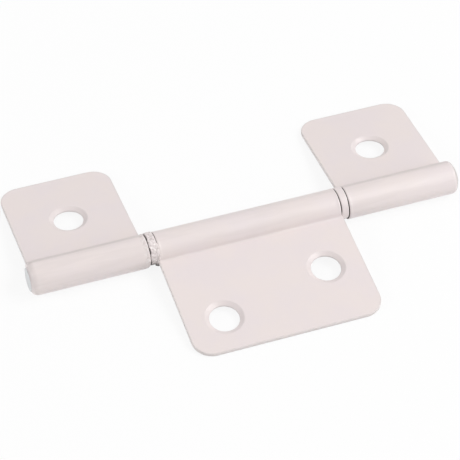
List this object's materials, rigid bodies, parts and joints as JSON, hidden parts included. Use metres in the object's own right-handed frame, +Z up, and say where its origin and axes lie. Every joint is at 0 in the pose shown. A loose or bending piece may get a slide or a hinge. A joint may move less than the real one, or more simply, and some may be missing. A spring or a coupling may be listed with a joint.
{
  "type": "flush hinge",
  "caption": "Flush hinge in painted sheet steel: two short outer leaves and a wide middle leaf rolled round one riveted pin, with countersunk screw holes.",
  "frame": {"origin": "on the surface that the open hinge lies on, under the middle of the box round the part", "axes": "+X along the pin, +Y towards the free edges of the two outer leaves, +Z up from the surface, on the countersunk side"},
  "size_m": [0.0782, 0.047, 0.0059],
  "materials": {
    "left_leaf": "off-white powder coat",
    "right_leaf": "off-white powder coat",
    "middle_leaf": "off-white powder coat",
    "hinge_pin": "off-white powder coat",
    "left_washer": "off-white powder coat",
    "right_washer": "off-white powder coat"
  },
  "bodies": {
    "middle_leaf": {"middle_leaf": "middle_leaf", "hinge_pin": "hinge_pin", "left_washer": "left_washer", "right_washer": "right_washer"},
    "left_leaf": {"left_leaf": "left_leaf"},
    "right_leaf": {"right_leaf": "right_leaf"}
  },
  "joints": [
    {"name": "left_leaf_hinge", "type": "hinge", "parent": "middle_leaf", "child": "left_leaf", "pos_m": [0, 0, 0.00294], "axis": [1, 0, 0], "continuous": true},
    {"name": "right_leaf_hinge", "type": "hinge", "parent": "middle_leaf", "child": "right_leaf", "pos_m": [0, 0, 0.00294], "axis": [1, 0, 0], "continuous": true}
  ]
}
